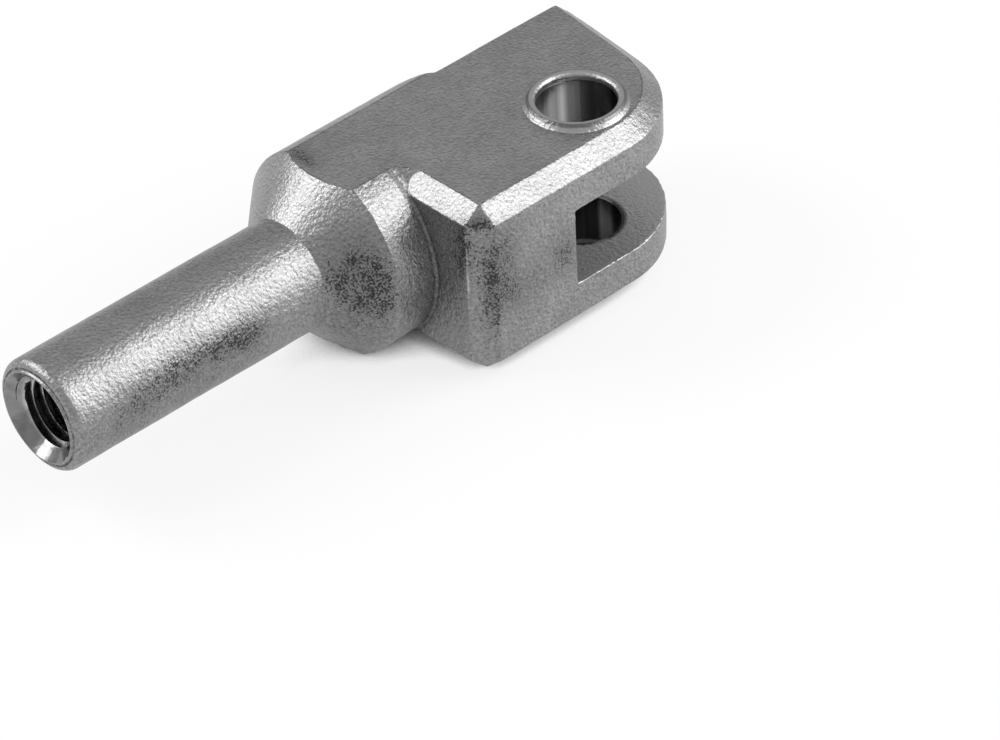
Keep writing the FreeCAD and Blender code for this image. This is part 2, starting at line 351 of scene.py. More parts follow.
# %% [markdown]
# ## Soft cast edges
#
# Sand and grit leave no sharp edge on a casting. A Bevel modifier would need
# clean rows of faces along each edge, and a sliced mesh has none. So the points on
# an edge, and a few rows beside it, are drawn towards the middle of their
# neighbours, less and less with distance. Points on machined faces stay, so the
# bore keeps the crisp edge that a cutter leaves.

# %% Sides, mean normals and soft rows
SPREAD_ROUNDS = 3
SPREAD_KEEP = 0.62
NO_LENGTH = 1e-9


def sides_of(faces):
    """The three directed sides of every triangle, as rows of two point numbers."""
    return faces[:, [0, 1, 1, 2, 2, 0]].reshape(-1, 2)


def cast_normals(normals, faces, kinds, count):
    """The mean normal of each point's cast corners, and how far those corners disagree."""
    cast = np.repeat(kinds == CAST, 3)
    total = gather(normals[cast], faces.ravel()[cast], count)
    number = np.bincount(faces.ravel()[cast], minlength=count)
    length = np.linalg.norm(total, axis=1)
    return total / np.maximum(length, NO_LENGTH)[:, None], 1 - length / np.maximum(number, 1)


def soft_weights(sides, creased, fixed):
    """One at the creases, falling by a set share with each row of points away from them."""
    weight = np.where(creased, 1.0, 0.0)
    for _ in range(SPREAD_ROUNDS):
        wider = weight.copy()
        np.maximum.at(wider, sides[:, 0], weight[sides[:, 1]] * SPREAD_KEEP)
        np.maximum.at(wider, sides[:, 1], weight[sides[:, 0]] * SPREAD_KEEP)
        weight = wider
    return np.where(fixed, 0.0, weight)


body_sides = sides_of(body_faces)
cast_normal, disagreement = cast_normals(corner_normal, body_faces, body_kinds, len(body_points))
print("sides:", len(body_sides))

# %% Which points are soft
CREASE_SPREAD = 1 - math.cos(CREASE / 2)


def points_of(kind):
    """Which points belong to a triangle of the given finish."""
    found = np.zeros(len(body_points), bool)
    found[body_faces[body_kinds == kind]] = True
    return found


on_machined = points_of(MACHINED)
on_cast = points_of(CAST)
creased = (disagreement > CREASE_SPREAD) & (disagreement < 1) & ~on_machined
softness = soft_weights(body_sides, creased, on_machined)
print("points on cast edges:", creased.sum(), "soft points:", (softness > 0).sum())

# %% [markdown]
# Where the slot breaks through the cast skin, the edge has only been dressed by
# hand: it is blunted more in one place and less in the next, and that uneven line
# catches the light. The rows beside it follow, here on the machined wall too. How
# blunt it gets is a sum of sine waves that run in many directions. A noise texture
# would need a material, and this has to move points. The sum takes a few lines of
# numpy, and with a fixed seed it is the same in every run.

# %% Blunt the slot's edge by hand
WAVE_SEED = 7
BEAD_WAVES = {"count": 16, "shortest": 0.9, "longest": 3.0, "height": 0.35}
BEAD_MIDDLE = 0.8
BEAD_LEAST = 0.1
FOOT_WEIGHT = 0.25
random = np.random.default_rng(WAVE_SEED)


def wave_field(points, count, shortest, longest, height):
    """Sum of count sine waves of random direction, length and phase, scaled to a height."""
    directions = random.normal(size=(count, 3))
    directions /= np.linalg.norm(directions, axis=1)[:, None]
    lengths = random.uniform(shortest, longest, count)
    phases = random.uniform(0, math.tau, count)
    angles = points @ (directions / lengths[:, None]).T * math.tau + phases
    return np.sin(angles).sum(1) * height / math.sqrt(count / 2)


dressed = on_cast & on_machined & (np.abs(body_points[:, 2]) < flat_level / 2)
softness = np.maximum(softness, soft_weights(body_sides, dressed, creased))
beads = BEAD_MIDDLE + wave_field(body_points, **BEAD_WAVES)
softness[on_cast & on_machined] = FOOT_WEIGHT
softness[dressed] = np.clip(beads[dressed], BEAD_LEAST, 1)
print("points on the slot's edge:", dressed.sum())

# %% [markdown]
# The tapped hole was left out of the copy, so the mesh is open at the shank's end.
# The thread will start from that ring of points, and they must not move before it
# does. An open side of a triangle is one that no neighbour runs along backwards.

# %% Find the open ring at the shank's end
def open_sides(sides):
    """The directed sides whose opposite is missing."""
    span = sides.max() + 1
    forward = sides[:, 0].astype(np.int64) * span + sides[:, 1]
    backward = sides[:, 1].astype(np.int64) * span + sides[:, 0]
    return sides[~np.isin(backward, forward)]


mouth_sides = open_sides(body_sides)
mouth_ring = np.unique(mouth_sides)
mouth_places = body_points[mouth_ring]
mouth_angle = np.arctan2(mouth_places[:, 2], mouth_places[:, 1] - shank_axis_y) % math.tau
mouth_ring = mouth_ring[np.argsort(mouth_angle)]
mouth_angle = np.sort(mouth_angle)
softness[mouth_ring] = 0
print("open sides:", len(mouth_sides), "points of the ring:", len(mouth_ring))

# %% [markdown]
# Now the soft points move, a little in each round. Four spots of the real piece
# are rounder than its edges, where grit reached a corner from three sides or metal
# filled a notch, so whatever lies near them gets more rounds.

# %% Round the cast edges
SOFT_ROUNDS = 5
SPOT_ROUNDS = 16
SOFT_PULL = 0.55
SPOTS = {
    "closed corner of the nose, upper": ((17.2, 20.4, 14.3), 1.8),
    "closed corner of the nose, lower": ((17.2, 20.4, -14.3), 1.8),
    "foot of the upright facet": ((-28.6, -9.6, -12.6), 1.6),
    "notch between drum and fork": ((-30.6, -2.4, -13.2), 1.7),
}


def relax(points, sides, weight, rounds):
    """Each round moves a point by its weight towards the mean place of its neighbours."""
    number = np.bincount(sides[:, 0], minlength=len(points))[:, None]
    for _ in range(rounds):
        mean = gather(points[sides[:, 1]], sides[:, 0], len(points)) / number
        points = points + (mean - points) * (weight * SOFT_PULL)[:, None]
    return points


def nearness(points, centre, reach):
    """A bell: e to the power of minus the squared distance in units of the reach."""
    return np.exp(-(((points - centre) / reach) ** 2).sum(1))


before = body_points.copy()
body_points = relax(body_points, body_sides, softness, SOFT_ROUNDS)
spot_weight = sum(nearness(body_points, *spot) for spot in SPOTS.values())
body_points = relax(body_points, body_sides, np.clip(spot_weight, 0, 1), SPOT_ROUNDS)
rounding = np.linalg.norm(body_points - before, axis=1)
print("largest rounding in millimetres:", round(float(rounding.max()), 3))

# %% [markdown]
# ## The uneven skin
#
# A casting's faces are never quite flat. The same kind of waves, with lengths of a
# few millimetres, moves each cast point in or out along its normal by a few
# hundredths of a millimetre. That is too little to see in the outline, and enough
# to bend the reflections. A bump in the material could bend them too, but it
# would be missing from the mesh. Only under the drum did the mould leave lumps
# that show in the outline.

# %% Long and short waves
LONG_WAVES = {"count": 24, "shortest": 7.0, "longest": 15.0, "height": 0.016}
SHORT_WAVES = {"count": 32, "shortest": 2.2, "longest": 4.5, "height": 0.009}
LUMP_WAVES = {"count": 20, "shortest": 2.2, "longest": 4.8, "height": 0.17}
LUMP_PLACE = (-38.5, 5.0, -12.6)
LUMP_REACH = (3.5, 7.0, 3.2)
unevenness = wave_field(body_points, **LONG_WAVES)
unevenness += wave_field(body_points, **SHORT_WAVES)
lumps = LUMP_WAVES["height"] + wave_field(body_points, **LUMP_WAVES)
unevenness += lumps * nearness(body_points, LUMP_PLACE, LUMP_REACH)
unevenness[disagreement >= 1] = 0
unevenness[mouth_ring] = 0
body_points += cast_normal * unevenness[:, None]
print("skin moves by up to", round(float(np.abs(unevenness).max()), 3), "millimetres")

# %% [markdown]
# ## The screw thread
#
# The solid has a plain hole of the tapping drill's size. The real one has a
# thread, and the light catches its first turns. A Screw modifier could wind a
# profile up, but both its ends would hang free. So the thread is worked out as a
# surface. Its rows follow the helix, so four profile corners are enough to keep
# each turn crisp, and its columns start at the points of the open ring. Rows that
# would lie in front of the mouth are pressed onto the ring, and rows past the drill
# point onto that point, so the surface closes by itself.

# %% Thread profile
PITCH = 1.75
ROOT_RADIUS = 6.0
PROFILE_PHASES = np.array([0, 0.125, 0.25, 0.406, 0.5625, 0.625, 0.6875, 0.844])
CORNER_PHASES = np.array([0, 0.25, 0.5625, 0.6875, 1])
CORNER_SHARES = np.array([0, 0, 1, 1, 0])
RUN_OUT = 2 * PITCH
DRILL_POINT = 3.06
mouth_radius = tapped_points[:, 2].max()


def hole_radius(x, phase):
    """Radius of the tapped hole: a drill cone at the far end, the thread's trapezium by
    its phase along the hole, and at least the countersink, which narrows by a millimetre
    for each millimetre of depth."""
    drilled_to = tip_x - DRILL_POINT
    fading = np.clip((drilled_to - x) / RUN_OUT, 0, 1)
    height = np.interp(phase % 1, CORNER_PHASES, CORNER_SHARES) * (ROOT_RADIUS - tap_radius)
    threaded = tap_radius + height * fading
    cone = tap_radius * np.clip((tip_x - x) / DRILL_POINT, 0, 1)
    sink = mouth_radius - (x - mouth_x)
    return np.maximum(np.minimum(threaded, np.where(x > drilled_to, cone, threaded)), sink)


print("countersink radius at the mouth:", round(float(mouth_radius), 2))

# %% Thread surface
SNAP = 0.02


def thread_surface(ring, angles, first_number):
    """Grid over row and angle: x is the start plus a pitch for each turn, for the row's
    phase and for the angle's share of a turn, and the radius is the hole's there."""
    per_turn = len(PROFILE_PHASES)
    turns = math.ceil((tip_x - mouth_x) / PITCH) + 2
    rows, columns = turns * per_turn, len(angles)
    along = np.repeat(np.arange(turns), per_turn) + np.tile(PROFILE_PHASES, turns)
    x = mouth_x + PITCH * (along[:, None] - 1 + angles[None, :] / math.tau)
    radius = hole_radius(x, np.broadcast_to(along[:, None], x.shape))
    points = np.stack((x, shank_axis_y + radius * np.cos(angles), radius * np.sin(angles)), axis=2)
    number = first_number + np.arange(rows * columns).reshape(rows, columns)
    pole = first_number + rows * columns
    number = np.where(x <= mouth_x + SNAP, ring[None, :], number)
    number = np.where(x >= tip_x - SNAP, pole, number)
    wrapped = np.concatenate((number[:-per_turn], number[per_turn:, :1]), axis=1)
    first, second = wrapped[:-1, :-1], wrapped[1:, :-1]
    third, fourth = wrapped[1:, 1:], wrapped[:-1, 1:]
    faces = np.concatenate((np.stack((first, second, third), 2), np.stack((first, third, fourth), 2)))
    faces = faces.reshape(-1, 3)
    whole = (faces[:, 0] != faces[:, 1]) & (faces[:, 1] != faces[:, 2]) & (faces[:, 2] != faces[:, 0])
    tip = np.array([[tip_x, shank_axis_y, 0]])
    return np.concatenate((points.reshape(-1, 3), tip)), faces[whole]


thread_points, thread_faces = thread_surface(mouth_ring, mouth_angle, len(body_points))
all_points = np.concatenate((body_points, thread_points))
all_faces = np.concatenate((body_faces, thread_faces))
all_kinds = np.concatenate((body_kinds, np.full(len(thread_faces), TAPPED)))
print("thread triangles:", len(thread_faces), "all triangles:", len(all_faces))

# %% [markdown]
# A closed surface has no open side: each directed side of a triangle meets its
# opposite in a neighbour. Its volume is the sum of the thin pyramids from the
# origin to every triangle, and it is positive where the faces point outwards.

# %% Check that the surface is closed
def without_unused(points, faces):
    """Drop the points that no triangle uses, and number the rest again."""
    used = np.zeros(len(points), bool)
    used[faces] = True
    renumber = np.cumsum(used) - 1
    return points[used], renumber[faces], used


all_points, all_faces, used = without_unused(all_points, all_faces)
left_open = open_sides(sides_of(all_faces))
corners = all_points[all_faces]
volume = np.einsum("ni,ni->n", corners[:, 0], np.cross(corners[:, 1], corners[:, 2])).sum() / 6
print("sides left open:", len(left_open), "volume in cubic millimetres:", round(float(volume)))

# %% [markdown]
# ## Where scale, and painted shade, is left
#
# The blasting didn't reach everywhere alike. Dark scale from the furnace is left
# in specks under the cone, on the upright facet, along the shank's lower side and
# in a few smaller places. The same patches also hold painted shade: on the
# undersides of the cone and the shank, on the back face and on the shank's top they
# darken sides that mirror little light. It could be painted onto the mesh, but a
# place given by numbers is easier to move. Each one is a soft ellipsoid with a
# centre, its three reaches and a strength. Their sum is kept at each point of the
# mesh, and the material turns it into specks and into an even darkening, which is
# partly a veil of scale and partly painted shade.

# %% Patches of scale and painted shade
SCALE_AND_SHADE_PATCHES = {
    "under the cone": ((-41.2, 2.6, 2.6), (4.8, 5.4, 3.6), 1.25),
    "cone, lower edge": ((-39.0, 0.0, -0.5), (2.0, 2.0, 3.5), 0.6),
    "upright facet": ((-28.2, -10.2, 1.5), (1.5, 1.6, 11.5), 0.85),
    "facet, far edge": ((-27.3, -11.1, 0.0), (0.6, 0.6, 12.0), 0.45),
    "open side by the facet": ((-25.3, -11.2, 4.0), (2.8, 1.0, 9.0), 0.84),
    "open side, lower": ((-20.0, -11.2, -1.5), (5.5, 1.0, 3.5), 0.5),
    "open side by the slot": ((-13.6, -11.2, 0.5), (2.6, 1.0, 4.0), 0.75),
    "back face by the facet": ((-30.2, -7.6, 8.5), (1.0, 2.2, 6.0), 0.8),
    "corner under the flat": ((-28.9, -9.9, 12.6), (1.6, 1.6, 1.4), 0.85),
    "flat by the drum": ((-36.6, 19.0, 14.5), (1.3, 3.6, 1.0), 1.0),
    "shank, lower side": ((-60.5, 5.8, 1.8), (5.0, 3.4, 2.6), 0.75),
    "shank, along the light": ((-70.0, 5.9, 2.6), (11.0, 3.0, 2.8), 0.8),
    "shank end, lower side": ((-82.0, 6.0, 0.5), (9.0, 3.4, 4.0), 0.45),
    "closed side": ((-18.0, 20.8, -3.0), (8.0, 1.0, 7.0), 0.7),
    "lower flat": ((-22.0, 6.0, -14.5), (8.0, 9.0, 1.0), 0.6),
    "shank, far side": ((-70.0, 22.8, -1.0), (13.0, 3.0, 4.0), 0.65),
    "cone, middle": ((-41.0, 1.5, 7.5), (5.0, 6.0, 4.0), 0.5),
    "cone, underside": ((-41.0, 3.5, -5.0), (5.0, 6.5, 8.0), 0.6),
    "shank, top": ((-68.0, 18.5, 8.0), (28.0, 5.0, 4.0), 0.52),
    "shank, underside": ((-70.0, 7.5, -5.0), (22.0, 4.0, 5.0), 0.45),
    "back face": ((-30.2, -5.0, 0.0), (1.5, 6.0, 14.0), 0.5),
}


def scale_and_shade_left(points):
    """Sum of the patches' bells, each times its strength, and never more than one."""
    bells = sum(strength * nearness(points, centre, reach) for centre, reach, strength in SCALE_AND_SHADE_PATCHES.values())
    return np.minimum(bells, 1.0)


all_scale_and_shade = scale_and_shade_left(all_points)
print("points with scale:", int((all_scale_and_shade > 0.3).sum()))

# %% [markdown]
# ## One piece of steel
#
# The finished surface goes into one mesh, because the part is one piece. The
# finish of each triangle picks its material. The mesh also keeps three numbers
# at each point for the materials: how dark the thin line along a flat's edge
# is, how much scale and painted shade is put there, and how bare an edge is worn,
# which also paints a highlight along it.

# %% Make the piece
SHARP = math.radians(38)
LINE_LEVEL = 14.1
# The worn corner, on the upright edge between the back face and the upright facet, and the slot's dressed
# edge are worn bare, and their lighter colour is also a painted highlight along them.
WORN_HIGHLIGHT_CORNER = (-30.2, -8.2, 3.0)
WORN_HIGHLIGHT_REACH = (0.5, 0.5, 9.5)


def make_piece(name, points, faces, kinds, notes):
    """Write the arrays into a mesh, mark its sharp edges and link it to the scene."""
    mesh = bpy.data.meshes.new(name)
    mesh.from_pydata(points * MM, [], faces)
    mesh.polygons.foreach_set("material_index", kinds.astype(np.int32))
    for note, values in notes.items():
        mesh.attributes.new(note, "FLOAT", "POINT").data.foreach_set("value", values.astype(np.float32))
    mesh.shade_smooth()
    mesh.set_sharp_from_angle(angle=SHARP)
    piece = bpy.data.objects.new(name, mesh)
    bpy.context.scene.collection.objects.link(piece)
    return piece


all_softness = np.concatenate((softness, np.zeros(len(thread_points))))[used]
all_dressed = np.concatenate((dressed, np.zeros(len(thread_points), bool)))[used]
edge_line = all_softness * (np.abs(all_points[:, 2]) > LINE_LEVEL)
worn_and_highlight = all_softness * np.maximum(all_dressed, nearness(all_points, WORN_HIGHLIGHT_CORNER, WORN_HIGHLIGHT_REACH))
notes = {"edge line": edge_line, "scale_and_shade": all_scale_and_shade, "worn_and_highlight": worn_and_highlight}
rod_end = make_piece("cast_rod_end", all_points, all_faces, all_kinds, notes)
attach(rod_end, "root")
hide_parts(part_name)
print(rod_end.name, "has", len(rod_end.data.polygons), "triangles")

# %% [markdown]
# ## Finishes
#
# All the metal is bare steel, so every material is fully metallic and grey. The
# finishes differ in how rough they are and in what roughens them. The patterns
# read Object coordinates, so they sit on the part and are the same size
# everywhere. A pattern's scale is one over its grain in metres.

# %% Node helpers
def add_node(tree, kind, inputs=None, **settings):
    """Add a node, set its options, then its inputs: a value is stored, a socket is linked."""
    node = tree.nodes.new(kind)
    for option, value in settings.items():
        setattr(node, option, value)
    for key, value in (inputs or {}).items():
        if isinstance(value, bpy.types.NodeSocket):
            tree.links.new(value, node.inputs[key])
        else:
            node.inputs[key].default_value = value
    return node


def connect(tree, shader, sockets):
    """Link each result to the shader's socket of that name."""
    for name, result in sockets.items():
        tree.links.new(result, shader.inputs[name])


def steel(name, build):
    """A metallic material: build gets the node tree, the place and the shader."""
    material = bpy.data.materials.new(name)
    material.use_nodes = True
    tree = material.node_tree
    shader = tree.nodes["Principled BSDF"]
    shader.inputs["Metallic"].default_value = 1.0
    place = add_node(tree, "ShaderNodeTexCoord").outputs["Object"]
    build(tree, place, shader)
    return material


print("node helpers: add_node, connect, steel")

# %% [markdown]
# The nodes of a finish could be placed and linked by hand in the Shader Editor, but
# a formula is easier to read as code. So each step of one gets a short name. It
# adds a node, and hands back the socket that holds the result.

# %% Steps of a formula
def maths(tree, operation, first, second):
    """One step of arithmetic on two values or sockets."""
    return add_node(tree, "ShaderNodeMath", {0: first, 1: second}, operation=operation).outputs[0]


def times(tree, first, second):
    """The product of two values or sockets."""
    return maths(tree, "MULTIPLY", first, second)


def spread(tree, value, low, high, to_low, to_high):
    """Map a value from one range to another, and keep it inside."""
    settings = {"Value": value, "From Min": low, "From Max": high, "To Min": to_low, "To Max": to_high}
    return add_node(tree, "ShaderNodeMapRange", settings).outputs["Result"]


def rise(tree, value, low, high):
    """Zero up to the low value, one from the high value on, and a slope between them."""
    return spread(tree, value, low, high, 0.0, 1.0)


def fall(tree, value, low, high):
    """One up to the low value, zero from the high value on, and a slope between them."""
    return spread(tree, value, low, high, 1.0, 0.0)


def blend(tree, share, first, second):
    """From the first value to the second, as the share goes from zero to one."""
    return spread(tree, share, 0.0, 1.0, first, second)


def grey(tree, level):
    """A neutral colour from one value."""
    channels = {"Red": level, "Green": level, "Blue": level}
    return add_node(tree, "ShaderNodeCombineColor", channels).outputs["Color"]


print("steps: maths, times, spread, rise, fall, blend, grey")

# %% Steps that look at a place
def grain(tree, place, size, detail=2.0, roughness=0.5):
    """Noise whose grain has the given size in millimetres, from 0 to 1."""
    settings = {"Vector": place, "Scale": 1 / (size * MM), "Detail": detail, "Roughness": roughness}
    return add_node(tree, "ShaderNodeTexNoise", settings).outputs["Fac"]


def bumped(tree, height, depth, under=None):
    """A bump whose height of one stands for the given depth in millimetres."""
    inputs = {"Height": height, "Distance": depth * MM, "Strength": 1.0}
    if under is not None:
        inputs["Normal"] = under
    return add_node(tree, "ShaderNodeBump", inputs).outputs["Normal"]


def noted(tree, name):
    """A number that the mesh keeps at each point."""
    return add_node(tree, "ShaderNodeAttribute", attribute_name=name).outputs["Fac"]


def split(tree, place):
    """The three coordinates of a place."""
    return add_node(tree, "ShaderNodeSeparateXYZ", {"Vector": place}).outputs


def joined(tree, parts):
    """The vector that the given parts make, with zero for a part that is left out."""
    return add_node(tree, "ShaderNodeCombineXYZ", parts).outputs["Vector"]


def length_of(tree, parts):
    """Length of the vector that the given parts make."""
    vector = joined(tree, parts)
    return add_node(tree, "ShaderNodeVectorMath", {0: vector}, operation="LENGTH").outputs["Value"]


def band(tree, value, middle, half):
    """One in the middle of a band, and down to zero at its borders, in millimetres."""
    off = maths(tree, "ABSOLUTE", maths(tree, "SUBTRACT", value, middle * MM), 0.0)
    return fall(tree, off, half / 2 * MM, half * MM)


print("steps: grain, bumped, noted, split, joined, length_of, band")

# %% [markdown]
# ## The blasted skin
#
# Scale comes off in specks, so what is left of it is specks too. A painted image
# could show each of them, but noise never ends or repeats. Fine noise makes the
# specks and coarse noise gathers them. Only what rises over a threshold is scale,
# and the threshold is lower where the mesh notes that more was left.

# %% Specks of scale
SPECK_GRAIN = 0.34
SPECK_ROUGHNESS = 0.6
CLUSTER_GRAIN = 1.8
SPECK_SHARE = 0.75
CLUSTER_SHARE = 0.25
CLEAN_THRESHOLD = 0.71
SCALE_GAIN = 0.24
SPECK_BLUR = 0.05


def specks(tree, place):
    """One where fine noise plus coarse noise rises over a threshold, which is that of
    clean steel minus a share of the scale left there."""
    lowered = times(tree, noted(tree, "scale_and_shade"), SCALE_GAIN)
    threshold = maths(tree, "SUBTRACT", CLEAN_THRESHOLD, lowered)
    full = maths(tree, "ADD", threshold, SPECK_BLUR)
    fine = times(tree, grain(tree, place, SPECK_GRAIN, roughness=SPECK_ROUGHNESS), SPECK_SHARE)
    coarse = times(tree, grain(tree, place, CLUSTER_GRAIN), CLUSTER_SHARE)
    return rise(tree, maths(tree, "ADD", fine, coarse), threshold, full)


print("threshold on clean steel:", CLEAN_THRESHOLD, "in the thickest scale:", CLEAN_THRESHOLD - SCALE_GAIN)

# %% [markdown]
# Two thin lines are dark without any scale: they are painted shade. A patchy one
# lies in the groove round the lip of the tapped hole, and an even one in the hollow
# between the drum and the back face, where little light gets in. Each line is where
# two bands cross: one by the distance from the shank's axis, the other by the place
# along it.

# %% Painted shade in the creases
LIP_GROOVE = (7.62, 0.22)
SHANK_END = (-91.2, 1.6)
ROOT_HOLLOW = (16.4, 0.5)
BACK_FACE = (-30.45, 0.6)
GROOVE_SHADE_GRAIN = 1.1
GROOVE_SHADE_NOISE = (0.38, 0.6)
GROOVE_SHADE_SHARES = (0.2, 1.0)
HOLLOW_SHARE = 0.6


def painted_crease_shade(tree, place):
    """The larger of two products of bands: patchy painted shade in the groove round the
    lip, and even painted shade in the hollow."""
    parts = split(tree, place)
    sideways = maths(tree, "SUBTRACT", parts["Y"], shank_axis_y * MM)
    off_axis = length_of(tree, {"Y": sideways, "Z": parts["Z"]})
    lip = times(tree, band(tree, off_axis, *LIP_GROOVE), band(tree, parts["X"], *SHANK_END))
    patchy = spread(tree, grain(tree, place, GROOVE_SHADE_GRAIN), *GROOVE_SHADE_NOISE, *GROOVE_SHADE_SHARES)
    hollow = times(tree, band(tree, off_axis, *ROOT_HOLLOW), band(tree, parts["X"], *BACK_FACE))
    return maths(tree, "MAXIMUM", times(tree, lip, patchy), times(tree, hollow, HOLLOW_SHARE))


print("groove round the lip at radius", LIP_GROOVE[0], "hollow by the back face at", ROOT_HOLLOW[0])

# %% [markdown]
# The bare skin is an orange peel almost a millimetre wide, with grit dimples of a
# third of a millimetre all over it. As geometry they would take millions of
# triangles, so they are two bumps, one on the other. On the real skin each dimple
# also has a dark side, more than a bump gives. So the colour is shaded by how far
# a noise falls from one place to another a tenth of a millimetre away.

# %% Colour of the bare skin
CLOUD_GRAIN = 6.0
CLOUD_DETAIL = 3.0
MOST_NOISE = (0.3, 0.7)
SKIN_GREYS = (0.27, 0.32)
RELIEF_GRAIN = 0.5
RELIEF_DETAIL = 1.5
RELIEF_STEP = (0.10 * MM, 0.10 * MM, 0.08 * MM)
RELIEF_SHADE = 1.6


def relief(tree, place):
    """One plus a share of the difference between the noise here and one step away."""
    beside = add_node(tree, "ShaderNodeVectorMath", {0: place, 1: RELIEF_STEP}, operation="ADD")
    here = grain(tree, place, RELIEF_GRAIN, detail=RELIEF_DETAIL)
    there = grain(tree, beside.outputs["Vector"], RELIEF_GRAIN, detail=RELIEF_DETAIL)
    slope = maths(tree, "SUBTRACT", here, there)
    return maths(tree, "ADD", times(tree, slope, RELIEF_SHADE), 1.0)


def bare_skin(tree, place):
    """The grey of a soft cloud, times the relief."""
    cloud = grain(tree, place, CLOUD_GRAIN, detail=CLOUD_DETAIL)
    return times(tree, spread(tree, cloud, *MOST_NOISE, *SKIN_GREYS), relief(tree, place))


print("greys of the bare skin:", SKIN_GREYS)

# %% The blasted skin
RUB_GRAIN = 1.3
RUB_NOISE = (0.38, 0.58)
RUB_SHARES = (0.25, 1.0)
WORN_HIGHLIGHT_RANGE = (0.3, 0.8)
LINE_RANGE = (0.55, 1.0)
SCALE_AND_CREASE_SHADE = 0.3
SCALE_VEIL_AND_SHADE = 0.64
EDGE_SHADE = 0.5
WORN_HIGHLIGHT_GAIN = 1.7
SKIN_ROUGHNESS = 0.40
SCALE_ROUGHNESS = 0.6
PEEL_GRAIN = 0.8
PEEL_DEPTH = 0.14
DIMPLE_GRAIN = 0.36
DIMPLE_DEPTH = 0.045


def blasted_skin(tree, place, shader):
    """The bare skin's grey times a factor for each cover: specks of scale and painted shade
    in the creases, a veil of scale and painted shade, bare worn edges that also carry a
    painted highlight, and the dark line along a flat."""
    rubbed = spread(tree, grain(tree, place, RUB_GRAIN, detail=1.0), *RUB_NOISE, *RUB_SHARES)
    bare_and_highlight = times(tree, rise(tree, noted(tree, "worn_and_highlight"), *WORN_HIGHLIGHT_RANGE), rubbed)
    scaled = maths(tree, "SUBTRACT", specks(tree, place), bare_and_highlight)
    dark = maths(tree, "MAXIMUM", scaled, painted_crease_shade(tree, place))
    line = rise(tree, noted(tree, "edge line"), *LINE_RANGE)
    veil_and_shade = noted(tree, "scale_and_shade")
    level = bare_skin(tree, place)
    # Here the specks, the painted shade in the creases, the veil of scale and painted shade, the painted
    # highlight on worn edges and the line along a flat go into the colour.
    for cover, factor in ((dark, SCALE_AND_CREASE_SHADE), (veil_and_shade, SCALE_VEIL_AND_SHADE), (bare_and_highlight, WORN_HIGHLIGHT_GAIN), (line, EDGE_SHADE)):
        level = times(tree, level, blend(tree, cover, 1.0, factor))
    peel = bumped(tree, grain(tree, place, PEEL_GRAIN), PEEL_DEPTH)
    dimples = grain(tree, place, DIMPLE_GRAIN, detail=0.0)
    connect(tree, shader, {
        "Base Color": grey(tree, level),
        "Roughness": blend(tree, dark, SKIN_ROUGHNESS, SCALE_ROUGHNESS),
        "Normal": bumped(tree, dimples, DIMPLE_DEPTH, peel),
    })


rod_end.data.materials.append(steel("blasted_skin", blasted_skin))
print("first finish:", rod_end.data.materials[0].name)

# %% [markdown]
# ## The machined walls
#
# A real bore mirrors the whole room in streaks along its wall. This plain studio
# has little to mirror, and a lamp for each streak would light the rest of the part
# as well. So the streaks are painted reflections in the wall's own colour, and one
# half of the wall gets painted shade, more of it towards the foot. They depend only
# on where a point lies across the bore, which X and Y tell, and they fade towards its foot.

# %% Painted reflections and shade along the bore
ACROSS = (0.67, -0.74)
LIGHT_STREAK = (-3.2, 1.5)
LIGHT_GREY = 0.16
FAINT_STREAK = (3.2, 1.3)
FAINT_GREYS = (0.22, 0.05)
HALF_SEAM = 0.05 * MM
HALF_GREYS = (0.15, 0.09)
FOOT_SHARES = (0.45, 1.0)
BORE_SHADED_BELOW = -8 * MM
BORE_UNSHADED_ABOVE = 5 * MM


def bore_streaks(tree, parts):
    """Painted reflections and shade by the place on a line across the bore: one light
    streak, one faint one, and one half of the wall darker than the other, more so
    towards the foot."""
    along_x = times(tree, parts["X"], ACROSS[0])
    across = maths(tree, "ADD", along_x, times(tree, parts["Y"], ACROSS[1]))
    clear = rise(tree, parts["Z"], BORE_SHADED_BELOW, BORE_UNSHADED_ABOVE)
    light = times(tree, band(tree, across, *LIGHT_STREAK), LIGHT_GREY)
    faint = times(tree, band(tree, across, *FAINT_STREAK), blend(tree, clear, *FAINT_GREYS))
    halves = spread(tree, across, -HALF_SEAM, HALF_SEAM, *HALF_GREYS)
    under = times(tree, halves, blend(tree, clear, *FOOT_SHARES))
    return maths(tree, "ADD", under, maths(tree, "ADD", light, faint))


print("the light streak lies", LIGHT_STREAK[0], "mm across the bore, the faint one", FAINT_STREAK[0])

# %% [markdown]
# The drill also leaves fine rings round the pin's axis. They are far too fine to
# model, and what they do to the light has its own inputs: Anisotropic draws every
# reflection out, and Tangent says which way the rings run. The slot's walls and the
# raised rings round the bore were cut too, but they are plain and rougher.

# %% The machined walls
BORE_WALL = (6.3 * MM, 6.9 * MM)
RING_LEVEL = (14.2 * MM, 14.45 * MM)
RING_CREASE = (7.2, 0.3)
CUT_GREY = 0.38
CREASE_SHADE_GREY = 0.17
PATCH_GRAIN = 1.6
PATCH_NOISE = (0.35, 0.65)
PATCH_SHARES = (0.7, 1.3)
MARK_GRAIN = 0.6
MARK_DEPTH = 0.14
CUT_MARKS, BORE_MARKS = 1.0, 0.1
CUT_ROUGHNESS, BORE_ROUGHNESS = 0.38, 0.24
CUT_PULL, BORE_PULL = 0.1, 0.75


